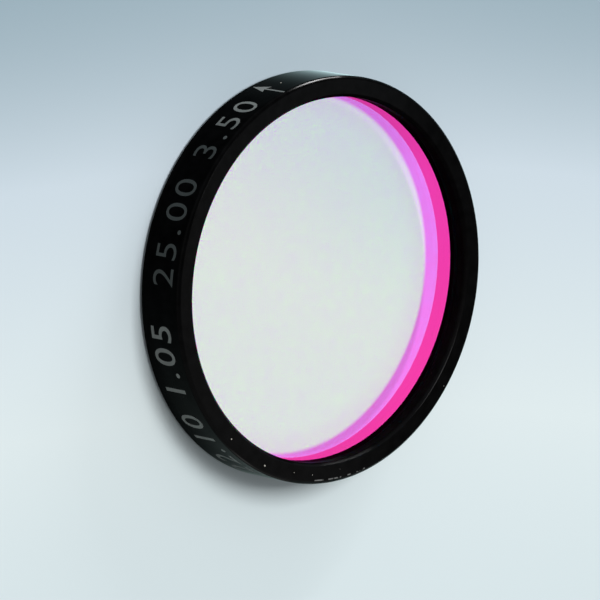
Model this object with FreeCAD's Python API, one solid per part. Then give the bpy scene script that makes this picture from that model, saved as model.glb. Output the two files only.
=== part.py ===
import FreeCAD, Part
import os

os.makedirs("parts", exist_ok=True)

# A mounted optical filter: a coated glass disc in a turned ring.
# The ring lies on its back face. The origin is the centre of that face, and
# +Z is the optical axis, towards the front face. All sizes are millimetres.

# Overall sizes
ring_diameter = 25.0
ring_thickness = 3.5

# Cell: the outer ring, turned from bar in one piece
outer_edge_break = 0.2
rim_wall = 0.7
lip_thickness = 0.8
lip_edge_break = 0.2
seat_width = 0.4
relief_depth = 0.12
relief_width = 0.4
thread_lead_in = 0.15

# Filter glass: one disc, coated on its faces
glass_thickness = 1.05
glass_edge_bevel = 0.1
glass_side_clearance = 0.05

# Retaining ring: screws in from the back and clamps the glass to the lip
retainer_width = 0.72
retainer_setback = 0.1
retainer_edge_break = 0.1
thread_clearance = 0.03
thread_shoulder = 0.15
slot_width = 1.2
slot_depth = 0.7

# Radii, from the rim inwards
rim_radius = ring_diameter / 2
thread_radius = rim_radius - rim_wall
relief_radius = thread_radius + relief_depth
pocket_radius = thread_radius - thread_shoulder
glass_radius = pocket_radius - glass_side_clearance
lip_radius = glass_radius - seat_width
retainer_outer_radius = thread_radius - thread_clearance
retainer_inner_radius = retainer_outer_radius - retainer_width

# Heights, from the front face back
seat_height = ring_thickness - lip_thickness
glass_back_height = seat_height - glass_thickness
retainer_back_height = retainer_setback


def turned(points):
    """Revolve a closed outline of (radius, height) points about the optical axis."""
    corners = [FreeCAD.Vector(radius, 0, height) for radius, height in points]
    outline = Part.makePolygon(corners + corners[:1])
    section = Part.Face(outline)
    return section.revolve(FreeCAD.Vector(0, 0, 0), FreeCAD.Vector(0, 0, 1), 360)


def make_cell():
    """The ring: front lip, glass seat and pocket, relief groove and threaded bore."""
    # The pocket stops short of the glass's back face, so that the retaining
    # ring presses on the glass and not on the pocket's shoulder.
    shoulder_height = glass_back_height + relief_width / 2
    relief_back_height = shoulder_height - relief_width
    return turned([
        (rim_radius - outer_edge_break, 0),
        (rim_radius, outer_edge_break),
        (rim_radius, ring_thickness - outer_edge_break),
        (rim_radius - outer_edge_break, ring_thickness),
        (lip_radius + lip_edge_break, ring_thickness),
        (lip_radius, ring_thickness - lip_edge_break),
        (lip_radius, seat_height),
        (pocket_radius, seat_height),
        (pocket_radius, shoulder_height),
        (relief_radius, shoulder_height),
        (relief_radius, relief_back_height),
        (thread_radius, relief_back_height),
        (thread_radius, thread_lead_in),
        (thread_radius + thread_lead_in, 0),
    ])


def make_filter_glass():
    """The glass disc, its front face on the lip's seat, its edges ground to a small bevel."""
    flat_radius = glass_radius - glass_edge_bevel
    return turned([
        (0, glass_back_height),
        (flat_radius, glass_back_height),
        (glass_radius, glass_back_height + glass_edge_bevel),
        (glass_radius, seat_height - glass_edge_bevel),
        (flat_radius, seat_height),
        (0, seat_height),
    ])


def make_retaining_ring():
    """The ring behind the glass, with two slots across its back face for a spanner."""
    blank = turned([
        (retainer_inner_radius, retainer_back_height + retainer_edge_break),
        (retainer_inner_radius + retainer_edge_break, retainer_back_height),
        (retainer_outer_radius - retainer_edge_break, retainer_back_height),
        (retainer_outer_radius, retainer_back_height + retainer_edge_break),
        (retainer_outer_radius, glass_back_height - retainer_edge_break),
        (retainer_outer_radius - retainer_edge_break, glass_back_height),
        (retainer_inner_radius + retainer_edge_break, glass_back_height),
        (retainer_inner_radius, glass_back_height - retainer_edge_break),
    ])
    slot_cut = Part.makeBox(
        2 * rim_radius,
        slot_width,
        retainer_back_height + slot_depth,
        FreeCAD.Vector(-rim_radius, -slot_width / 2, 0),
    )
    return blank.cut(slot_cut)


parts = {
    "cell": make_cell(),
    "filter_glass": make_filter_glass(),
    "retaining_ring": make_retaining_ring(),
}

for name, shape in parts.items():
    shape.exportStep(f"parts/{name}.step")
    state = "valid" if shape.isValid() else "not valid"
    print(name, state, len(shape.Solids), "solid", round(shape.Volume, 3), "mm3")
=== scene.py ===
# %% [markdown]
# A mounted optical filter
#
# This is a small optical part: a thin disc of coated glass in a turned black ring, 25 mm across.
# The glass passes a narrow band of green and mirrors the rest, so it looks pale where both arrive
# together, and pink where only the mirrored light does. The lesson builds the three real pieces,
# gives each its finish, and photographs them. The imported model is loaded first, and the sizes of the
# ring and the glass are read from it, so they can't drift from the real dimensions.

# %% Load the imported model
import math

import bmesh
import bpy
import numpy as np
from mathutils import Matrix, Vector


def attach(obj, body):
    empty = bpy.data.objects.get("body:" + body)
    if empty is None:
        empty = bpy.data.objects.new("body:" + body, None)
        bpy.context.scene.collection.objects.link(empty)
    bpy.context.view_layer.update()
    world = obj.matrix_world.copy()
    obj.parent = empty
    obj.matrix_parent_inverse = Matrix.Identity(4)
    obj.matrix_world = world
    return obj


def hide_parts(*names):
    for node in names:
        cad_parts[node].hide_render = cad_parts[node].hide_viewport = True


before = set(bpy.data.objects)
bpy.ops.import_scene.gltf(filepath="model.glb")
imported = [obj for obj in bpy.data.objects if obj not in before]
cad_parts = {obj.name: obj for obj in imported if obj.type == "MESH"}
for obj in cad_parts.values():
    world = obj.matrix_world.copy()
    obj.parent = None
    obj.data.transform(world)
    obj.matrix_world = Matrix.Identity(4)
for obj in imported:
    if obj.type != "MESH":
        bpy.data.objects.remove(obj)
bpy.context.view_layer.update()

print("nodes in the frame:", sorted(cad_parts))

# %% [markdown]
# Reading the sizes
#
# A turned part is known by its radii and its heights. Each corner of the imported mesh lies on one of
# the turned edges, so its distance from the axis is a radius of the real part. The blocks below ask
# the mesh for them. Lengths are in metres, MM turns millimetres into metres, and SAME is how far apart
# two heights may lie and still count as one.

# %% Read the radii and heights
MM = 0.001
SAME = 0.002 * MM


def points_of(node):
    """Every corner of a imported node."""
    return np.array([v.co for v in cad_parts[node].data.vertices])


def heights(node):
    """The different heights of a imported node's corners, lowest first."""
    return sorted({round(z, 6) for z in points_of(node)[:, 2].tolist()})


def radii_at(node, height):
    """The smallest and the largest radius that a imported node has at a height."""
    points = points_of(node)
    here = points[abs(points[:, 2] - height) < SAME]
    radius = np.hypot(here[:, 0], here[:, 1])
    return float(radius.min()), float(radius.max())


back, lead_in_top, rim_low, relief_back, shoulder, seat, rim_high, front = heights("cell")
lip_face, face_radius = radii_at("cell", front)
lip_radius, pocket_radius = radii_at("cell", seat)
relief_radius = radii_at("cell", shoulder)[1]
thread_radius, rim_radius = radii_at("cell", lead_in_top)[0], radii_at("cell", rim_low)[1]
lead_in_radius = radii_at("cell", back)[0]
print("ring", round(2 * rim_radius / MM, 2), "mm across,", round(front / MM, 2), "mm thick")
print("opening over the glass", round(2 * lip_radius / MM, 2), "mm across")

glass_low, glass_low_edge, glass_high_edge, glass_high = heights("filter_glass")
glass_flat = radii_at("filter_glass", glass_low)[1]
glass_radius = radii_at("filter_glass", glass_low_edge)[1]
glass_thickness = glass_high - glass_low
print("glass", round(2 * glass_radius / MM, 2), "mm across,", round(glass_thickness / MM, 2), "mm thick")

retainer_low, slot_floor, retainer_high = (heights("retaining_ring")[i] for i in (0, -3, -1))
retainer_points = points_of("retaining_ring")
retainer_span = np.hypot(retainer_points[:, 0], retainer_points[:, 1])
retainer_bore, retainer_radius = float(retainer_span.min()), float(retainer_span.max())
retainer_edge = radii_at("retaining_ring", retainer_high)[0] - retainer_bore
on_slot_floor = abs(retainer_points[:, 2] - slot_floor) < SAME
slot_half_width = float(abs(retainer_points[on_slot_floor][:, 1]).max())
slot_depth = slot_floor - retainer_low
print("retaining ring bore", round(2 * retainer_bore / MM, 2), "mm across")
print("spanner slots", round(2 * slot_half_width / MM, 2), "mm wide")

# %% [markdown]
# The camera
#
# The real filter stands on its rim in the picture, but a ring rolls, so here it lies on its back face
# and the camera comes round instead. What matters is the angle between the lens and the glass: the
# camera looks down at the glass from 47 degrees, from far off with a long lens, and is rolled on its
# side so that the front of the ring faces right.

# %% Place the camera
camera_place = Vector((-19.24, -292.34, 311.08)) * MM
camera_target = Vector((1.57, 0.82, 0.0)) * MM
camera_roll = math.radians(100.54)
lens_length = 420.0
sensor_width = 36.0

camera_data = bpy.data.cameras.new("camera")
camera_data.lens = lens_length
camera_data.sensor_width = sensor_width
camera_data.clip_start = 0.01
camera_data.clip_end = 10.0
camera = bpy.data.objects.new("camera", camera_data)
bpy.context.scene.collection.objects.link(camera)
aim = (camera_target - camera_place).to_track_quat("-Z", "Y").to_matrix().to_4x4()
camera.matrix_world = Matrix.Translation(camera_place) @ aim @ Matrix.Rotation(camera_roll, 4, "Z")
bpy.context.scene.camera = camera
print("camera", round((camera_target - camera_place).length / MM), "mm from the ring")

# %% [markdown]
# Turning a ring
#
# The real ring is cut on a lathe: the bar spins, and the tool follows an outline. Blender's Screw
# modifier does the same when its pitch is zero. The outline is a loop of (radius, height) points, and
# the modifier sweeps it round the axis. A real turned edge is never perfectly sharp, so each corner is
# first rounded by a small arc. A point is also set just beyond each arc, because smooth shading would
# otherwise spread the bend over the whole flat beside it.

# %% Outline and lathe helpers
turn_steps = 512
corner_steps = 3
corner_share = 0.3
hold = 0.012 * MM
hold_share = 0.15
weld_distance = 1e-7


def rounded(outline, radius):
    """The closed outline with each corner replaced by a small arc and a holding point on each side."""
    points = [Vector(p) for p in outline]
    result = []
    for before, corner, after in zip(points[-1:] + points[:-1], points, points[1:] + points[:1]):
        inward, outward = before - corner, after - corner
        reach = min(radius, corner_share * inward.length, corner_share * outward.length)
        start, end = corner + inward.normalized() * reach, corner + outward.normalized() * reach
        result.append(start + inward.normalized() * min(hold, hold_share * inward.length))
        for step in range(corner_steps + 1):
            t = step / corner_steps
            result.append(start * (1 - t) ** 2 + corner * 2 * t * (1 - t) + end * t * t)
        result.append(end + outward.normalized() * min(hold, hold_share * outward.length))
    return result


def applied(piece):
    """Replace a piece's mesh by what its modifiers make of it."""
    shape = bpy.data.meshes.new_from_object(piece.evaluated_get(bpy.context.evaluated_depsgraph_get()))
    piece.modifiers.clear()
    piece.data = shape
    shape.name = piece.name
    return shape


def turned(name, outline, closed=True):
    """One object, made by sweeping an outline of (radius, height) points about Z."""
    count = len(outline)
    sides = [(i, (i + 1) % count) for i in range(count if closed else count - 1)]
    section = bpy.data.meshes.new(name)
    section.from_pydata([(p[0], 0.0, p[1]) for p in outline], sides, [])
    piece = bpy.data.objects.new(name, section)
    bpy.context.scene.collection.objects.link(piece)
    lathe = piece.modifiers.new("lathe", "SCREW")
    lathe.steps = lathe.render_steps = turn_steps
    lathe.use_merge_vertices, lathe.merge_threshold = True, weld_distance
    mesh = applied(piece)
    bm = bmesh.new()
    bm.from_mesh(mesh)
    bmesh.ops.recalc_face_normals(bm, faces=bm.faces)
    bm.to_mesh(mesh)
    bm.free()
    mesh.shade_smooth()
    print(name, "has", len(mesh.polygons), "faces")
    return piece


# %% [markdown]
# The thread
#
# The retaining ring screws into the bore from behind. The thread is fine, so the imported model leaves
# it as two plain cylinders with a small gap. Here it is cut for real: each point of the wall moves
# away from the other piece by the depth of a groove that winds round the axis, one pitch a turn, and
# the groove fades out at both ends as a tool lifts out of it.

# %% Thread helpers
thread_pitch = 0.35 * MM
thread_depth = 0.14 * MM
thread_rows = 12
thread_fade = 0.5 * thread_pitch
on_wall = 1e-9


def with_thread_rows(outline, wall_radius):
    """The outline with its wall at one radius divided into rows, and the wall's two ends."""
    wall = [i for i, p in enumerate(outline) if abs(p[0] - wall_radius) < on_wall]
    first, last = outline[wall[0]][1], outline[wall[-1]][1]
    count = math.ceil(abs(last - first) / thread_pitch * thread_rows)
    rows = [Vector((wall_radius, first + (last - first) * i / count)) for i in range(1, count)]
    return outline[: wall[0] + 1] + rows + outline[wall[-1] :], min(first, last), max(first, last)


def cut_thread(piece, wall_radius, low, high, outward):
    """Cut a helical groove into the cylinder wall of a turned piece between two heights."""
    mesh = piece.data
    co = np.empty(len(mesh.vertices) * 3)
    mesh.vertices.foreach_get("co", co)
    co = co.reshape(-1, 3)
    radius, angle, z = np.hypot(co[:, 0], co[:, 1]), np.arctan2(co[:, 1], co[:, 0]), co[:, 2]
    wall = (abs(radius - wall_radius) < SAME) & (z > low) & (z < high)
    turn = (z / thread_pitch - angle / math.tau) % 1.0
    groove = 1.0 - abs(2.0 * turn - 1.0)
    fade = np.clip(np.minimum(z - low, high - z) / thread_fade, 0, 1)
    scale = 1.0 + np.where(wall, outward * thread_depth * groove * fade, 0.0) / radius.clip(1e-9)
    co[:, :2] *= scale[:, None]
    mesh.vertices.foreach_set("co", co.ravel())
    mesh.update()
    print("thread cut in", piece.name, "moved", int(wall.sum()), "points")


# %% [markdown]
# The cell
#
# The cell is the ring that is seen: one turned piece of aluminium. From the front its bore steps
# outwards: the lip that hides the glass's edge, the pocket that holds the glass, a relief groove
# where the thread tool ran out, and the threaded wall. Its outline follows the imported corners.

# %% Turn the cell
corner_radius = 0.05 * MM
cell_outline = rounded(
    [
        (face_radius, back),
        (rim_radius, rim_low),
        (rim_radius, rim_high),
        (face_radius, front),
        (lip_face, front),
        (lip_radius, rim_high),
        (lip_radius, seat),
        (pocket_radius, seat),
        (pocket_radius, shoulder),
        (relief_radius, shoulder),
        (relief_radius, relief_back),
        (thread_radius, relief_back),
        (thread_radius, lead_in_top),
        (lead_in_radius, back),
    ],
    corner_radius,
)
cell_outline, thread_low, thread_high = with_thread_rows(cell_outline, thread_radius)
cell = turned("cell_turned", cell_outline)
cut_thread(cell, thread_radius, thread_low, thread_high, outward=1.0)
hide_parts("cell")

# %% [markdown]
# The glass
#
# The filter is a plain disc with its edges ground to a small bevel. Its outline starts and ends on
# the axis, so it isn't closed: the sweep closes it.

# %% Turn the glass
glass_sharp_angle = math.radians(20)
glass_outline = [
    (0.0, glass_low),
    (glass_flat, glass_low),
    (glass_radius, glass_low_edge),
    (glass_radius, glass_high_edge),
    (glass_flat, glass_high),
    (0.0, glass_high),
]
glass = turned("filter_disc", glass_outline, closed=False)
glass.data.set_sharp_from_angle(angle=glass_sharp_angle)
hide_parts("filter_glass")

# %% [markdown]
# The retaining ring
#
# It is turned like the cell, with the thread on its outer wall, and then two slots are milled across
# its back face for a spanner. A Boolean modifier cuts them with a bar that reaches past both sides.
# On a part this small its fast solver can lose the whole mesh, so the exact one does the cut.

# %% Turn the retaining ring and mill its slots
retainer_outline = rounded(
    [
        (retainer_bore, retainer_low + retainer_edge),
        (retainer_bore + retainer_edge, retainer_low),
        (retainer_radius - retainer_edge, retainer_low),
        (retainer_radius, retainer_low + retainer_edge),
        (retainer_radius, retainer_high - retainer_edge),
        (retainer_radius - retainer_edge, retainer_high),
        (retainer_bore + retainer_edge, retainer_high),
        (retainer_bore, retainer_high - retainer_edge),
    ],
    0.5 * corner_radius,
)
retainer_outline, thread_low, thread_high = with_thread_rows(retainer_outline, retainer_radius)
retainer = turned("retaining_ring_turned", retainer_outline)
cut_thread(retainer, retainer_radius, thread_low, thread_high, outward=-1.0)


def milled(piece, name, size, place):
    """Cut a box out of a piece with a Boolean modifier, and apply it."""
    cutter_mesh = bpy.data.meshes.new(name)
    bm = bmesh.new()
    bmesh.ops.create_cube(bm, size=1.0, matrix=Matrix.Translation(place) @ Matrix.Diagonal((*size, 1.0)))
    bm.to_mesh(cutter_mesh)
    bm.free()
    cutter = bpy.data.objects.new(name, cutter_mesh)
    bpy.context.scene.collection.objects.link(cutter)
    cut = piece.modifiers.new("slots", "BOOLEAN")
    cut.operation, cut.solver, cut.object = "DIFFERENCE", "EXACT", cutter
    shape = applied(piece)
    bpy.data.objects.remove(cutter)
    print(piece.name, "milled, now", len(shape.polygons), "faces")


slot_sharp_angle = math.radians(28)
slot_bar_size = (3 * rim_radius, 2 * slot_half_width, 2 * slot_depth)
milled(retainer, "slot_bar", slot_bar_size, Vector((0, 0, retainer_low)))
retainer.data.set_sharp_from_angle(angle=slot_sharp_angle)
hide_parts("retaining_ring")

# %% [markdown]
# Marks on the rim
#
# The rim carries laser marks: here plain sizes in millimetres, and an arrow for the way the light
# should go. Each mark is modelled flat and then wrapped round the rim: its width becomes an angle,
# and its height runs along the axis. A flat mesh only bends where it has points, so it is first
# sliced into narrow strips. The marks are closed shells a hundredth of a millimetre thick, and they
# stand just proud of the rim, as the raised skin of a real laser mark does.

# %% Wrap helper
mark_proud = 0.006 * MM
mark_sunk = 0.004 * MM
strip_width = 0.15 * MM
strip_weld = 1e-8


def wrapped(piece, start_angle, base_height):
    """Bend a flat piece round the rim: x runs clockwise from an angle, and y towards the back."""
    mesh = piece.data
    bm = bmesh.new()
    bm.from_mesh(mesh)
    xs = [v.co.x for v in bm.verts]
    for i in range(math.ceil(min(xs) / strip_width), math.ceil(max(xs) / strip_width)):
        everything = bm.verts[:] + bm.edges[:] + bm.faces[:]
        bmesh.ops.bisect_plane(bm, geom=everything, plane_co=(i * strip_width, 0, 0), plane_no=(1, 0, 0))
    for v in bm.verts:
        angle = start_angle - v.co.x / rim_radius
        radius = rim_radius + (mark_proud if v.co.z > 0 else -mark_sunk)
        v.co = (radius * math.cos(angle), radius * math.sin(angle), base_height - v.co.y)
    bmesh.ops.remove_doubles(bm, verts=bm.verts, dist=strip_weld)
    bmesh.ops.recalc_face_normals(bm, faces=bm.faces)
    bm.to_mesh(mesh)
    bm.free()
    print(piece.name, "wrapped round the rim,", len(mesh.polygons), "faces")


# %% [markdown]
# A font's size is more than the height of its digits, so the size asked for is that height divided by
# its share of the size. The thickness of a flat mark only tells its outer side from its inner one,
# because the wrapping sets how far both stand from the axis.

# %% Numbers on the rim
digit_share = 0.729
mark_half_thickness = 0.01 * MM
curve_steps = 6


def marked_number(name, text, digit_height, spacing, boldness, start_angle, base_height):
    """A number marked on the rim, with the height of its digits and where it starts."""
    curve = bpy.data.curves.new(name, "FONT")
    curve.body = text
    curve.size = digit_height / digit_share
    curve.space_character = spacing
    curve.offset = boldness
    curve.extrude = mark_half_thickness
    curve.resolution_u = curve_steps
    flat = bpy.data.objects.new(name + "_flat", curve)
    bpy.context.scene.collection.objects.link(flat)
    shape = bpy.data.meshes.new_from_object(flat.evaluated_get(bpy.context.evaluated_depsgraph_get()))
    bpy.data.objects.remove(flat)
    piece = bpy.data.objects.new(name, shape)
    bpy.context.scene.collection.objects.link(piece)
    length = max(v.co.x for v in shape.vertices)
    print(name, "is", round(length / MM, 1), "mm long")
    wrapped(piece, start_angle, base_height)
    return piece


outer_size = marked_number(
    "outer_size_mark",
    "25.00 3.50",
    digit_height=1.88 * MM,
    spacing=1.22,
    boldness=-0.012 * MM,
    start_angle=math.radians(276.5),
    base_height=2.93 * MM,
)
aperture_size = marked_number(
    "aperture_size_mark",
    "22.10 1.05",
    digit_height=1.83 * MM,
    spacing=1.20,
    boldness=0.01 * MM,
    start_angle=math.radians(345.5),
    base_height=2.62 * MM,
)

# %% Arrow on the rim
arrow_angle = math.radians(207.9)
arrow_tail, arrow_tip, arrow_barbs, arrow_notch = (h * MM for h in (3.28, 0.5, 1.78, 1.60))
head_half_width = 0.39 * MM
shaft_half_width = 0.07 * MM
arrow_outline = [
    (-shaft_half_width, -arrow_tail),
    (shaft_half_width, -arrow_tail),
    (shaft_half_width, -arrow_notch),
    (head_half_width, -arrow_barbs),
    (0.0, -arrow_tip),
    (-head_half_width, -arrow_barbs),
    (-shaft_half_width, -arrow_notch),
]
arrow_mesh = bpy.data.meshes.new("arrow_mark")
bm = bmesh.new()
low_face = bm.faces.new([bm.verts.new((x, y, -mark_half_thickness)) for x, y in arrow_outline])
raised = bmesh.ops.extrude_face_region(bm, geom=[low_face])["geom"]
top_points = [v for v in raised if isinstance(v, bmesh.types.BMVert)]
bmesh.ops.translate(bm, verts=top_points, vec=(0, 0, 2 * mark_half_thickness))
bmesh.ops.triangulate(bm, faces=bm.faces[:])
bm.to_mesh(arrow_mesh)
bm.free()
arrow = bpy.data.objects.new("arrow_mark", arrow_mesh)
bpy.context.scene.collection.objects.link(arrow)
wrapped(arrow, arrow_angle, 0.0)

# %% [markdown]
# Dust
#
# No optical part stays clean for long. A few flecks lie on the front face and one on the rim, each a
# tiny crumpled flake. They are listed one by one: each row gives an angle in degrees, and then the
# distance from the axis, the height and the size in millimetres.

# %% Flecks of dust
fleck_places = [
    (326.8, 12.00, 3.505, 0.042),
    (342.8, 12.06, 3.510, 0.058),
    (354.8, 11.87, 3.505, 0.030),
    (2.3, 11.90, 3.505, 0.028),
    (61.0, 12.10, 3.505, 0.026),
    (202.8, 12.505, 1.84, 0.045),
]
fleck_seed = 4
crumple_low, crumple_high = 0.6, 1.15
fleck_flatness = 0.45
flecks_mesh = bpy.data.meshes.new("dust_flecks")
bm = bmesh.new()
crumple = np.random.default_rng(fleck_seed)
for degrees, radius, height, size in fleck_places:
    angle = math.radians(degrees)
    place = Vector((radius * math.cos(angle), radius * math.sin(angle), height)) * MM
    there = Matrix.Translation(place)
    ball = bmesh.ops.create_icosphere(bm, subdivisions=2, radius=size * MM, matrix=there)
    for v in ball["verts"]:
        away = (v.co - place) * float(crumple.uniform(crumple_low, crumple_high))
        v.co = place + Vector((away.x, away.y, fleck_flatness * away.z))
bm.to_mesh(flecks_mesh)
bm.free()
flecks = bpy.data.objects.new("dust_flecks", flecks_mesh)
bpy.context.scene.collection.objects.link(flecks)
print("dust flecks:", len(fleck_places))

# %% [markdown]
# Materials as small machines
#
# A material is a tree of nodes. Two helpers keep the trees readable: one adds a node and fills its
# inputs with numbers or with another node's output, and one starts a group. A group is a tree of its
# own with named inputs and outputs, so an effect is made once and used in many materials.

# %% Node helpers
def add(tree, kind, inputs=None, **settings):
    """Add a shader node. Each input takes a value or another node's output."""
    made = tree.nodes.new("ShaderNode" + kind)
    for name, value in settings.items():
        setattr(made, name, value)
    for name, value in (inputs or {}).items():
        if isinstance(value, bpy.types.NodeSocket):
            tree.links.new(value, made.inputs[name])
        else:
            made.inputs[name].default_value = value
    return made


def math_of(tree, operation, *values):
    """The output of a Math node."""
    return add(tree, "Math", dict(enumerate(values)), operation=operation).outputs[0]


def ramp_of(tree, value, low, high, start=0.0, end=1.0):
    """A value taken smoothly from one range to another, and held at its ends."""
    inputs = {"Value": value, "From Min": low, "From Max": high, "To Min": start, "To Max": end}
    return add(tree, "MapRange", inputs, interpolation_type="SMOOTHSTEP").outputs["Result"]


def new_group(name, inputs, outputs):
    """A node group with named sockets, its input node and its output node."""
    tree = bpy.data.node_groups.new(name, "ShaderNodeTree")
    for label, default in inputs.items():
        kind = "NodeSocketVector" if default is None else "NodeSocketFloat"
        socket = tree.interface.new_socket(label, in_out="INPUT", socket_type=kind)
        if default is not None:
            socket.default_value = default
    for label in outputs:
        tree.interface.new_socket(label, in_out="OUTPUT", socket_type="NodeSocketFloat")
    print("group", name, "takes", list(inputs), "and gives", list(outputs))
    return tree, tree.nodes.new("NodeGroupInput").outputs, tree.nodes.new("NodeGroupOutput").inputs


def use(tree, group, inputs):
    """Place a group in a material, with this material's own values."""
    made = tree.nodes.new("ShaderNodeGroup")
    made.node_tree = group
    for name, value in inputs.items():
        if isinstance(value, bpy.types.NodeSocket):
            tree.links.new(value, made.inputs[name])
        else:
            made.inputs[name].default_value = value
    return made.outputs


def new_material(name):
    """An empty node material: its tree and the socket for its surface."""
    material = bpy.data.materials.new(name)
    material.use_nodes = True
    tree = material.node_tree
    tree.nodes.clear()
    return material, tree, tree.nodes.new("ShaderNodeOutputMaterial").inputs["Surface"]


# %% [markdown]
# Four shared effects
#
# Turning marks are the fine rings that a lathe tool leaves. On a flat face they follow the radius, and
# on a wall the height, so radius plus height drives a noise in one dimension. Grain is the fine tooth
# of the anodised skin. Edge wear is strongest on a turned edge, comes in patches, and is worst on the
# side that the ring is stood on. Dust is a scatter of specks, each a small round spot in its own cell
# of a Voronoi pattern.

# %% Turning marks group
def radius_and_height(tree, place):
    """The distance from the axis and the height of a place, in metres."""
    parts = add(tree, "SeparateXYZ", {0: place}).outputs
    flat = add(tree, "CombineXYZ", {0: parts[0], 1: parts[1]}).outputs[0]
    return add(tree, "VectorMath", {0: flat}, operation="LENGTH").outputs["Value"], parts[2]


turning_marks, given, gives = new_group("turning_marks", {"Place": None, "Spacing": 0.04 * MM}, ["Height"])
radius, height = radius_and_height(turning_marks, given["Place"])
along = math_of(turning_marks, "DIVIDE", math_of(turning_marks, "ADD", radius, height), given["Spacing"])
lines = add(turning_marks, "TexNoise", {"W": along, "Scale": 1.0, "Detail": 3.0}, noise_dimensions="1D")
turning_marks.links.new(lines.outputs[0], gives["Height"])

# %% Anodised grain group
coarse_ratio = 22.0
grain, given, gives = new_group("anodised_grain", {"Place": None, "Size": 0.03 * MM}, ["Height", "Shade"])
scale = math_of(grain, "DIVIDE", 1.0, given["Size"])
fine = add(grain, "TexNoise", {"Vector": given["Place"], "Scale": scale, "Detail": 2.0, "Roughness": 0.7})
coarse_scale = math_of(grain, "DIVIDE", scale, coarse_ratio)
coarse = add(grain, "TexNoise", {"Vector": given["Place"], "Scale": coarse_scale, "Detail": 4.0})
grain.links.new(fine.outputs[0], gives["Height"])
grain.links.new(math_of(grain, "MULTIPLY", fine.outputs[0], coarse.outputs[0]), gives["Shade"])

# %% Edge wear group
patch_size = 0.55 * MM
patch_border = 0.06
full_share = 0.2
stood_on_from, stood_on_at = 0.965, 0.99
edge_inputs = {
    "Place": None,
    "Standing Side": None,
    "Edge Radius": rim_radius,
    "Edge Height": rim_high,
    "Width": 0.06 * MM,
    "Amount": 0.4,
    "Stood On": 0.0,
}
edge_wear, given, gives = new_group("edge_wear", edge_inputs, ["Edge", "Worn"])
radius, height = radius_and_height(edge_wear, given["Place"])
aside = math_of(edge_wear, "SUBTRACT", radius, given["Edge Radius"])
above = math_of(edge_wear, "SUBTRACT", height, given["Edge Height"])
away = add(edge_wear, "CombineXYZ", {0: aside, 1: above}).outputs[0]
gap = add(edge_wear, "VectorMath", {0: away}, operation="LENGTH").outputs["Value"]
near = ramp_of(edge_wear, math_of(edge_wear, "DIVIDE", gap, given["Width"]), full_share, 1.0, 1.0, 0.0)
patch_inputs = {"Vector": given["Place"], "Scale": 1 / patch_size, "Detail": 2.0}
patches = add(edge_wear, "TexNoise", patch_inputs).outputs[0]
facing_in = {0: given["Place"], 1: given["Standing Side"]}
facing = add(edge_wear, "VectorMath", facing_in, operation="DOT_PRODUCT").outputs["Value"]
facing = math_of(edge_wear, "DIVIDE", facing, radius)
stood_on = ramp_of(edge_wear, facing, stood_on_from, stood_on_at)
amount = math_of(edge_wear, "MULTIPLY_ADD", stood_on, given["Stood On"], given["Amount"])
bar = math_of(edge_wear, "SUBTRACT", 1.0, amount)
rubbed = ramp_of(edge_wear, math_of(edge_wear, "SUBTRACT", patches, bar), 0.0, patch_border)
edge_wear.links.new(near, gives["Edge"])
edge_wear.links.new(math_of(edge_wear, "MULTIPLY", near, rubbed), gives["Worn"])

# %% Dust group
dust_inputs = {"Place": None, "Spread": 0.9 * MM, "Speck": 0.035, "Share": 0.3}
dust, given, gives = new_group("dust", dust_inputs, ["Specks"])
scale = math_of(dust, "DIVIDE", 1.0, given["Spread"])
cells = add(dust, "TexVoronoi", {"Vector": given["Place"], "Scale": scale})
chance = add(dust, "SeparateXYZ", {0: cells.outputs["Color"]}).outputs
reach = math_of(dust, "MULTIPLY", given["Speck"], chance[0])
inside = math_of(dust, "LESS_THAN", cells.outputs["Distance"], reach)
chosen = math_of(dust, "LESS_THAN", chance[1], given["Share"])
dust.links.new(math_of(dust, "MULTIPLY", inside, chosen), gives["Specks"])

# %% [markdown]
# Black anodising
#
# Anodised aluminium is dyed black under a hard clear skin. Seen square on it mirrors almost nothing,
# and at a glancing angle it mirrors a lot, which is why the top of the rim shines. That skin is the
# coat of the Principled shader. Layer Weight says how glancing the view is, and a power makes the
# shine rise late and steeply, as it does on the real skin. A painted sheen makes it stronger at the far
# end of the rim and towards the worn side, and the flat face has a weak shine of its own, with painted
# shade making it weaker on one side.
#
# The broken edges are a little smoother than the faces, so they catch the light too, over a short
# range of glancing angles, and where they are rubbed the bare metal shows. The walls of the bore get
# little of the coat's shine, so that they throw no stray light on the glass.

# %% Black anodised material
dyed_black = (0.0076, 0.0076, 0.0080, 1)
bare_metal = (0.15, 0.15, 0.147, 1)
dust_colour = (0.10, 0.097, 0.09, 1)
least_roughness, lines_roughness, tooth_roughness = 0.22, 0.22, 0.12
lines_relief, relief_strength, relief_depth = 0.6, 0.35, 0.004 * MM
shine_power = 8.0
# The higher gain at the far end of the rim is a painted sheen.
shine_gain, painted_far_sheen_gain = 1.3, 2.6
painted_far_sheen_from, painted_far_sheen_at = -11.4 * MM, -12.4 * MM
face_power = 16.0
# The face's shine is weaker on one side: painted shade.
face_shine, painted_shade_shine = 0.08, 0.016
painted_shade_from, painted_shade_at = 1.0 * MM, 8.0 * MM
# More shine towards the worn side: a painted sheen.
painted_sheen_most = 0.09
painted_sheen_from, painted_sheen_at = -4.0 * MM, 9.0 * MM
edge_rise_from, edge_rise_at, edge_rise_start = 0.262, 0.322, 0.06
edge_fall_from, edge_fall_at, edge_fall_end = 0.33, 0.38, 0.4
bore_dullness, bore_blend = 0.12, 0.1 * MM
# The side where the edges wear most, and towards which the painted sheen grows.
worn_and_sheen_side = (math.cos(math.radians(14)), math.sin(math.radians(14)), 0)
standing_wear = 0.24


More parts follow.
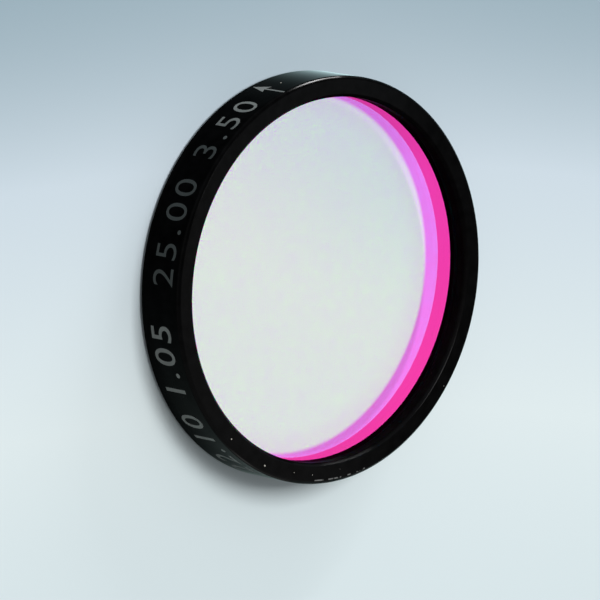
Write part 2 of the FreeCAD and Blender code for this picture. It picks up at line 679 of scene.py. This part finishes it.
def black_anodised(name, marks, edges, specks, dull_inside):
    """A dyed black finish, with a painted sheen and painted shade in its shine. Each edge gives its
    (radius, height), its width, its gloss and its wear.
    """
    material, tree, surface = new_material(name)
    coordinates = add(tree, "TexCoord").outputs
    place = coordinates["Object"]
    from_axis = radius_and_height(tree, place)[0]
    openness = ramp_of(tree, from_axis, dull_inside, dull_inside + bore_blend, bore_dullness, 1.0)
    facing_up = add(tree, "SeparateXYZ", {0: coordinates["Normal"]}).outputs[2]
    flat_face = math_of(tree, "POWER", math_of(tree, "ABSOLUTE", facing_up), face_power)
    sides = add(tree, "SeparateXYZ", {0: place}).outputs
    # Painted sheen: more glancing shine at the far end of the rim.
    gain = ramp_of(tree, sides[0], painted_far_sheen_from, painted_far_sheen_at, shine_gain, painted_far_sheen_gain)
    # Painted shade: the face shines less on one side.
    face_gloss_and_painted_shade = ramp_of(tree, sides[1], painted_shade_from, painted_shade_at, face_shine, painted_shade_shine)
    # Painted sheen: more shine towards the worn side.
    facing_sheen_side = {0: place, 1: worn_and_sheen_side}
    towards_sheen_side = add(tree, "VectorMath", facing_sheen_side, operation="DOT_PRODUCT").outputs["Value"]
    painted_sheen = ramp_of(tree, towards_sheen_side, painted_sheen_from, painted_sheen_at, 0.0, painted_sheen_most)
    lines = use(tree, turning_marks, {"Place": place, "Spacing": marks})["Height"]
    tooth = use(tree, grain, {"Place": place})
    fallen = use(tree, dust, {"Place": place, "Share": specks})["Specks"]
    edge, edge_shine, worn = 0.0, 0.0, 0.0
    for (edge_radius, edge_height), width, gloss, wear in edges:
        inputs = {"Place": place, "Edge Radius": edge_radius, "Edge Height": edge_height, "Width": width}
        inputs |= {"Amount": wear, "Standing Side": worn_and_sheen_side, "Stood On": standing_wear}
        found = use(tree, edge_wear, inputs)
        edge = math_of(tree, "MAXIMUM", edge, found["Edge"])
        edge_shine = math_of(tree, "MAXIMUM", edge_shine, math_of(tree, "MULTIPLY", found["Edge"], gloss))
        worn = math_of(tree, "MAXIMUM", worn, found["Worn"])

    dyed = add(tree, "MixRGB", {0: tooth["Shade"], 1: (0, 0, 0, 1), 2: dyed_black})
    rubbed = add(tree, "MixRGB", {0: worn, 1: dyed.outputs[0], 2: bare_metal})
    dusty = add(tree, "MixRGB", {0: fallen, 1: rubbed.outputs[0], 2: dust_colour})
    rough = math_of(tree, "MULTIPLY_ADD", tooth["Height"], tooth_roughness, least_roughness)
    rough = math_of(tree, "MULTIPLY_ADD", lines, lines_roughness, rough)
    relief = math_of(tree, "MULTIPLY_ADD", lines, lines_relief, tooth["Height"])
    relief = math_of(tree, "MULTIPLY", relief, math_of(tree, "SUBTRACT", 1.0, edge))
    bumped = {"Strength": relief_strength, "Distance": relief_depth, "Height": relief}
    bumps = add(tree, "Bump", bumped)

    glancing = add(tree, "LayerWeight", {"Blend": 0.5}).outputs["Facing"]
    late_shine = math_of(tree, "POWER", glancing, shine_power)
    skin_shine = math_of(tree, "MULTIPLY_ADD", late_shine, gain, painted_sheen)
    face_change = math_of(tree, "SUBTRACT", face_gloss_and_painted_shade, painted_sheen)
    skin_shine = math_of(tree, "MULTIPLY_ADD", flat_face, face_change, skin_shine)
    edge_rise = ramp_of(tree, glancing, edge_rise_from, edge_rise_at, edge_rise_start, 1.0)
    edge_fall = ramp_of(tree, glancing, edge_fall_from, edge_fall_at, 1.0, edge_fall_end)
    edge_shine = math_of(tree, "MULTIPLY", edge_shine, math_of(tree, "MULTIPLY", edge_rise, edge_fall))
    coat = math_of(tree, "MAXIMUM", math_of(tree, "MULTIPLY", skin_shine, openness), edge_shine)
    inputs = {
        "Base Color": dusty.outputs[0],
        "Metallic": worn,
        "Roughness": rough,
        "Specular IOR Level": 0.0,
        "Coat Weight": coat,
        "Coat Roughness": 0.09,
        "Normal": bumps.outputs[0],
    }
    skin = add(tree, "BsdfPrincipled", inputs)
    tree.links.new(skin.outputs[0], surface)
    return material


edge_inset = 0.06 * MM
bore_margin = 0.03 * MM
cell_marks, retainer_marks = 0.045 * MM, 0.08 * MM
front_edge = ((rim_radius - edge_inset, rim_high + edge_inset), 0.085 * MM, 0.55, 0.0)
back_edge = ((rim_radius - edge_inset, rim_low - edge_inset), 0.10 * MM, 0.06, 0.22)
face_corner = ((face_radius - edge_inset, front), 0.06 * MM, 0.0, 0.25)
cell_edges = [front_edge, back_edge, face_corner]
cell_black = black_anodised(
    "cell_black", cell_marks, cell_edges, specks=0.06, dull_inside=lip_radius + bore_margin
)
bore_corner = ((retainer_bore + retainer_edge, retainer_low), 0.06 * MM, 0.20, 0.40)
retainer_black = black_anodised(
    "retainer_black", retainer_marks, [bore_corner], specks=0.0, dull_inside=retainer_bore + bore_margin
)
cell.data.materials.append(cell_black)
retainer.data.materials.append(retainer_black)

# %% [markdown]
# Laser marks
#
# A marking laser breaks the dyed skin into a pale grey, grainy one. It is matt, so it glows softly
# wherever light falls on it, and it shares the turning marks and the grain of the metal under it.
# Each mark is painted lighter towards the arrow, where the light falls on the rim, and darker away from
# it: painted light and painted shade, from a shaded grey to a lit one.

# %% Laser mark materials
shaded_blue, lit_blue = 0.98, 0.95
patch_shade = 0.75


def laser_mark(name, shaded_level, lit_level, lit_from=-7.0 * MM, lit_at=-9.8 * MM):
    """A laser mark's finish: its grey at the shaded end and at the lit end, painted light and shade."""
    material, tree, surface = new_material(name)
    place = add(tree, "TexCoord").outputs["Object"]
    lines = use(tree, turning_marks, {"Place": place, "Spacing": cell_marks})["Height"]
    tooth = use(tree, grain, {"Place": place, "Size": 0.05 * MM})
    patchy = ramp_of(tree, tooth["Shade"], 0.1, 0.42, patch_shade, 1.0)
    across = add(tree, "SeparateXYZ", {0: place}).outputs[0]
    # Painted light: the grey turns from the shaded one to the lit one along the rim.
    painted_light_share = ramp_of(tree, across, lit_from, lit_at)
    shaded_grey = (shaded_level, shaded_level, shaded_blue * shaded_level, 1)
    lit_grey = (lit_level, lit_level, lit_blue * lit_level, 1)
    grey = add(tree, "MixRGB", {0: painted_light_share, 1: shaded_grey, 2: lit_grey}).outputs[0]
    shade = add(tree, "MixRGB", {0: patchy, 1: (0, 0, 0, 1), 2: grey})
    relief = math_of(tree, "MULTIPLY_ADD", lines, 0.5, tooth["Height"])
    bumps = add(tree, "Bump", {"Strength": 0.4, "Distance": 0.004 * MM, "Height": relief})
    inputs = {
        "Base Color": shade.outputs[0],
        "Roughness": ramp_of(tree, tooth["Height"], 0.3, 0.7, 0.45, 0.65),
        "Specular IOR Level": 0.3,
        "Normal": bumps.outputs[0],
    }
    tree.links.new(add(tree, "BsdfPrincipled", inputs).outputs[0], surface)
    return material


aperture_grey = laser_mark(
    "aperture_size_grey", shaded_level=0.05, lit_level=0.15, lit_from=12.1 * MM, lit_at=10.2 * MM
)
outer_size.data.materials.append(laser_mark("outer_size_grey", shaded_level=0.026, lit_level=0.19))
aperture_size.data.materials.append(aperture_grey)
arrow.data.materials.append(laser_mark("arrow_grey", shaded_level=0.20, lit_level=0.20))

# %% Dust fleck material
fleck_dark, fleck_light = (0.2, 0.19, 0.16, 1), (0.7, 0.68, 0.6, 1)
fleck_pale, tree, surface = new_material("fleck_pale")
place = add(tree, "TexCoord").outputs["Object"]
tooth = use(tree, grain, {"Place": place, "Size": 0.02 * MM})
lightness = ramp_of(tree, tooth["Shade"], 0.1, 0.4)
shade = add(tree, "MixRGB", {0: lightness, 1: fleck_dark, 2: fleck_light})
bumps = add(tree, "Bump", {"Strength": 0.6, "Distance": 0.01 * MM, "Height": tooth["Height"]})
inputs = {"Base Color": shade.outputs[0], "Roughness": 0.7, "Normal": bumps.outputs[0]}
tree.links.new(add(tree, "BsdfPrincipled", inputs).outputs[0], surface)
flecks.data.materials.append(fleck_pale)

# %% [markdown]
# Coated glass
#
# The coatings are stacks of films, so thin that their colour comes from interference. Each face
# mirrors some colours and lets the others through, with almost nothing lost. The front face mirrors
# red and part of the blue, which is pink. The back face adds the rest of the blue. Only green passes
# both. So each face adds a tinted mirror to a tinted, bending window. A face mirrors other colours
# from inside the glass than from outside: Backfacing tells the two apart. The front face lets no red
# in, so inside the glass there is only green and blue. The back face mirrors the blue, and the front
# face lets it out again.

# %% Coated glass materials
glass_bending = 1.52


def coating(name, outer_mirror, inner_mirror, window):
    """One coated face: smooth tinted mirrors, outside and inside, added to a smooth tinted window."""
    material, tree, surface = new_material(name)
    bend = add(tree, "BsdfRefraction", {"Color": (*window, 1), "Roughness": 0.0, "IOR": glass_bending})
    sides = []
    for mirror in (outer_mirror, inner_mirror):
        side = bend
        if any(mirror):
            shine = add(tree, "BsdfAnisotropic", {"Color": (*mirror, 1), "Roughness": 0.0})
            side = add(tree, "AddShader", {0: shine.outputs[0], 1: bend.outputs[0]})
        sides.append(side.outputs[0])
    from_inside = add(tree, "NewGeometry").outputs["Backfacing"]
    both = add(tree, "MixShader", {0: from_inside, 1: sides[0], 2: sides[1]})
    tree.links.new(both.outputs[0], surface)
    print(name, "mirrors", outer_mirror, "outside and", inner_mirror, "inside")
    return material


front_coating = coating("front_coating", (0.95, 0.05, 0.42), (0.0, 0.0, 0.0), (0.02, 0.97, 0.76))
back_coating = coating("back_coating", (0.90, 0.20, 0.92), (0.0, 0.20, 0.92), (0.0, 0.76, 0.07))

# %% [markdown]
# The glass's edge is ground matt and sits in a dark pocket of the ring. Its colour is painted near black
# for that shade, so that no stray light runs round inside the disc.

# %% Glass edge material, painted dark for shade
edge_shade_dark, edge_shade_light = (0.004, 0.004, 0.005, 1), (0.03, 0.03, 0.035, 1)
front_index, back_index, edge_index = 0, 1, 2
straight_up = 0.99

shaded_glass_edge, tree, surface = new_material("shaded_glass_edge")
place = add(tree, "TexCoord").outputs["Object"]
tooth = use(tree, grain, {"Place": place, "Size": 0.04 * MM})
# Painted shade: the edge is near black for the dark pocket it sits in.
shade = add(tree, "MixRGB", {0: tooth["Shade"], 1: edge_shade_dark, 2: edge_shade_light})
bumps = add(tree, "Bump", {"Strength": 0.5, "Distance": 0.01 * MM, "Height": tooth["Height"]})
inputs = {
    "Base Color": shade.outputs[0],
    "Roughness": 0.65,
    "Specular IOR Level": 0.2,
    "Normal": bumps.outputs[0],
}
tree.links.new(add(tree, "BsdfPrincipled", inputs).outputs[0], surface)

for material in (front_coating, back_coating, shaded_glass_edge):
    glass.data.materials.append(material)
for face in glass.data.polygons:
    face.material_index = edge_index
    if face.normal.z > straight_up:
        face.material_index = front_index
    if face.normal.z < -straight_up:
        face.material_index = back_index
print("filter_disc carries", [material.name for material in glass.data.materials])

# %% [markdown]
# The pieces ride on the part
#
# Each new piece is attached to the root body of the imported model, so it moves with it, and its finish is
# printed.

# %% Attach the pieces
black_pieces = (cell, retainer, outer_size, aperture_size, arrow, flecks)
for piece, finish in [(p, "black_anodised") for p in black_pieces] + [(glass, "coated_glass")]:
    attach(piece, "root")
    print(piece.name, "rides on root as", finish)

# %% [markdown]
# The floor
#
# The floor is pale and matt, darker and bluer towards the far end and slightly so towards the left.
# What the ring mirrors of it has a little less red. Light that has passed the glass is green, and a
# path tracer would need very long to gather it, so the floor answers rays that come through the glass
# with a plain glow. The glow is cut off by the round shadow that the ring throws into its own bore:
# that shadow lies a little to one side, as the light does. Near it and at the far end the glow fades.

# %% Floor
floor_half_size = 600.0 * MM
floor_gap = 0.01 * MM
shadow_radius = retainer_bore
shadow_shift = 0.45 * MM
shadow_softness = 0.16 * MM
border_width = 1.9 * MM
glow_strength, border_glow, far_end_glow = 0.8, 0.86, 0.84
far_end_from, far_end_at = -13 * MM, 2 * MM
fade_from, fade_at = -24 * MM, 20 * MM
leftward_share = 0.2
mirrored_tint = (0.86, 1.0, 0.94, 1)

floor_mesh = bpy.data.meshes.new("floor")
bm = bmesh.new()
bmesh.ops.create_grid(bm, x_segments=1, y_segments=1, size=floor_half_size)
bm.to_mesh(floor_mesh)
bm.free()
floor = bpy.data.objects.new("floor", floor_mesh)
floor.location.z = -floor_gap
bpy.context.scene.collection.objects.link(floor)

floor_paint, tree, surface = new_material("floor_paint")
place = add(tree, "TexCoord").outputs["Object"]
sides = add(tree, "SeparateXYZ", {0: place}).outputs
leftward = math_of(tree, "MINIMUM", sides[1], 0.0)
nearness = math_of(tree, "MULTIPLY_ADD", leftward, leftward_share, sides[0])
fade = add(tree, "ValToRGB", {0: ramp_of(tree, nearness, fade_from, fade_at)})
far_tone, near_tone = (0.28, 0.375, 0.43, 1), (0.66, 0.75, 0.77, 1)
middle_tones = {0.307: (0.57, 0.655, 0.715, 1), 0.80: (0.70, 0.78, 0.79, 1)}
fade.color_ramp.elements[0].color = far_tone
fade.color_ramp.elements[1].color = near_tone
for share, tone in middle_tones.items():
    fade.color_ramp.elements.new(share).color = tone
path = add(tree, "LightPath").outputs
tint = add(tree, "MixRGB", {0: path["Is Glossy Ray"], 1: (1, 1, 1, 1), 2: mirrored_tint})
tinted = {0: 1.0, 1: fade.outputs[0], 2: tint.outputs[0]}
paint = add(tree, "MixRGB", tinted, blend_type="MULTIPLY")
matt = add(tree, "BsdfDiffuse", {"Color": paint.outputs[0]})
shifted = add(tree, "VectorMath", {0: place, 1: (0.0, shadow_shift, 0.0)}, operation="ADD").outputs[0]
from_middle = add(tree, "VectorMath", {0: shifted}, operation="LENGTH").outputs["Value"]
shadow_from, shadow_at = shadow_radius - shadow_softness, shadow_radius + shadow_softness
lit_disc = ramp_of(tree, from_middle, shadow_from, shadow_at, glow_strength, 0.0)
border = ramp_of(tree, from_middle, shadow_radius - border_width, shadow_radius, 1.0, border_glow)
far_end = ramp_of(tree, sides[0], far_end_from, far_end_at, far_end_glow, 1.0)
lit_disc = math_of(tree, "MULTIPLY", lit_disc, far_end)
glow = add(tree, "Emission", {"Strength": math_of(tree, "MULTIPLY", lit_disc, border)})
mixed = add(tree, "MixShader", {0: path["Is Transmission Ray"], 1: matt.outputs[0], 2: glow.outputs[0]})
tree.links.new(mixed.outputs[0], surface)
floor_mesh.materials.append(floor_paint)
print("floor glow ends", round(shadow_at / MM, 2), "mm from its middle")

# %% [markdown]
# The sky and the lamps
#
# The room is brighter on the window side than on the other, where the camera stands. A soft lamp gives
# the shadow, and a long low one draws the thin line along the edge of the ring. What the glass mirrors
# is a pale sky. Two steps say how the mirrored ray turns as its place on the glass moves, so that this
# sky can be given in millimetres on the glass.

# %% Sky that lights the room
window_side = Vector((-0.85, 0.25, 0.45)).normalized()
dim_from, bright_at = -0.6, 0.9
room_dim, room_bright = 0.20, 0.50
room_white = (0.96, 0.98, 1.0, 1)
glass_middle = Vector((0.0, 0.0, glass_high))
glass_distance = (glass_middle - camera_place).length
glass_view = (glass_middle - camera_place).normalized()


def mirrored_step(step):
    """How the mirrored ray turns as its place on the glass moves, scaled to give that place back."""
    turn = (step - step.dot(glass_view) * glass_view) / glass_distance
    return Vector((turn.x, turn.y, -turn.z)) / turn.length_squared


world = bpy.data.worlds.new("sky")
bpy.context.scene.world = world
world.use_nodes = True
tree = world.node_tree
tree.nodes.clear()
surface = tree.nodes.new("ShaderNodeOutputWorld").inputs["Surface"]
direction = add(tree, "TexCoord").outputs["Generated"]


def towards(side):
    """How far the direction of a ray points to one side, from -1 to 1."""
    return add(tree, "VectorMath", {0: direction, 1: side}, operation="DOT_PRODUCT").outputs["Value"]


room = ramp_of(tree, towards(window_side), dim_from, bright_at, room_dim, room_bright)
lit = add(tree, "Background", {"Color": room_white, "Strength": room})
print("the room's light is", room_dim, "to", room_bright)

# %% [markdown]
# The sky in the glass is cooler towards the far side. It is stronger where only the pink is mirrored,
# outside a round pale field that lies to the left: most of all on the right, and least at the far end.
# Along the outer edge it is stronger once more, there most at the far end.

# %% Sky that the glass mirrors
sky_strength = 0.97
warm_white, cool_white = (0.775, 0.775, 0.765, 1), (0.63, 0.69, 0.73, 1)
cool_from, cool_at, cool_slant = -2.5 * MM, 12.6 * MM, 0.3
pale_shift = 2.5 * MM
pink_from, pink_at = 10.75 * MM, 11.1 * MM
outer_from, outer_at = 11.4 * MM, 12.6 * MM

glass_x = towards(mirrored_step(Vector((1, 0, 0))))
glass_y = towards(mirrored_step(Vector((0, 1, 0))))
farther = math_of(tree, "MULTIPLY_ADD", glass_y, cool_slant, math_of(tree, "MULTIPLY", glass_x, -1.0))
coolness = ramp_of(tree, farther, cool_from, cool_at)
tint = add(tree, "MixRGB", {0: coolness, 1: warm_white, 2: cool_white})
aside = add(tree, "CombineXYZ", {0: glass_x, 1: math_of(tree, "ADD", glass_y, pale_shift)}).outputs[0]
from_pale = add(tree, "VectorMath", {0: aside}, operation="LENGTH").outputs["Value"]
near_extra = ramp_of(tree, glass_x, -9.8 * MM, -7.0 * MM, 0.10, 0.20)
right_extra = ramp_of(tree, glass_y, 2.0 * MM, 9.0 * MM, 0.0, 0.08)
outer_extra = ramp_of(tree, glass_x, 2.0 * MM, -7.0 * MM, 0.02, 0.12)
pink_extra = math_of(tree, "ADD", near_extra, right_extra)
pink_light = ramp_of(tree, from_pale, pink_from, pink_at)
outermost = ramp_of(tree, from_pale, outer_from, outer_at)
strength = math_of(tree, "MULTIPLY_ADD", pink_light, pink_extra, sky_strength)
strength = math_of(tree, "MULTIPLY_ADD", outermost, outer_extra, strength)
seen = add(tree, "Background", {"Color": tint.outputs[0], "Strength": strength})
path = add(tree, "LightPath").outputs
shown = math_of(tree, "MAXIMUM", path["Is Camera Ray"], path["Is Glossy Ray"])
shown = math_of(tree, "MAXIMUM", shown, path["Is Transmission Ray"])
mixed = add(tree, "MixShader", {0: shown, 1: lit.outputs[0], 2: seen.outputs[0]})
tree.links.new(mixed.outputs[0], surface)
print("the glass mirrors a sky of strength", sky_strength)


# %% Lamps
def lamp_at(name, place, power, size, along=Vector((0, 0, 1))):
    """A soft rectangular lamp that looks at the ring, its long side along a direction."""
    data = bpy.data.lights.new(name, "AREA")
    data.shape, data.size, data.size_y, data.energy = "RECTANGLE", size[0], size[1], power
    lamp = bpy.data.objects.new(name, data)
    bpy.context.scene.collection.objects.link(lamp)
    out_of_lamp = place.normalized()
    long_side = (along - along.dot(out_of_lamp) * out_of_lamp).normalized()
    turn = Matrix((long_side, out_of_lamp.cross(long_side), out_of_lamp)).transposed().to_4x4()
    lamp.matrix_world = Matrix.Translation(place) @ turn
    print(name, "at", [round(v / MM) for v in place], "mm")


window_lamp_place = Vector((-0.33, -0.06, 0.94)) * 0.46
edge_lamp_place = Vector((-0.880, 0.405, 0.242)) * 0.5
edge_lamp_tilt = Vector((-0.187, -0.468, 0.295))
lamp_at("window_lamp", window_lamp_place, power=1.5, size=(0.18, 0.18))
lamp_at("edge_lamp", edge_lamp_place, power=0.8, size=(0.23, 0.03), along=edge_lamp_tilt)

scene = bpy.context.scene
scene.view_settings.view_transform = "Standard"
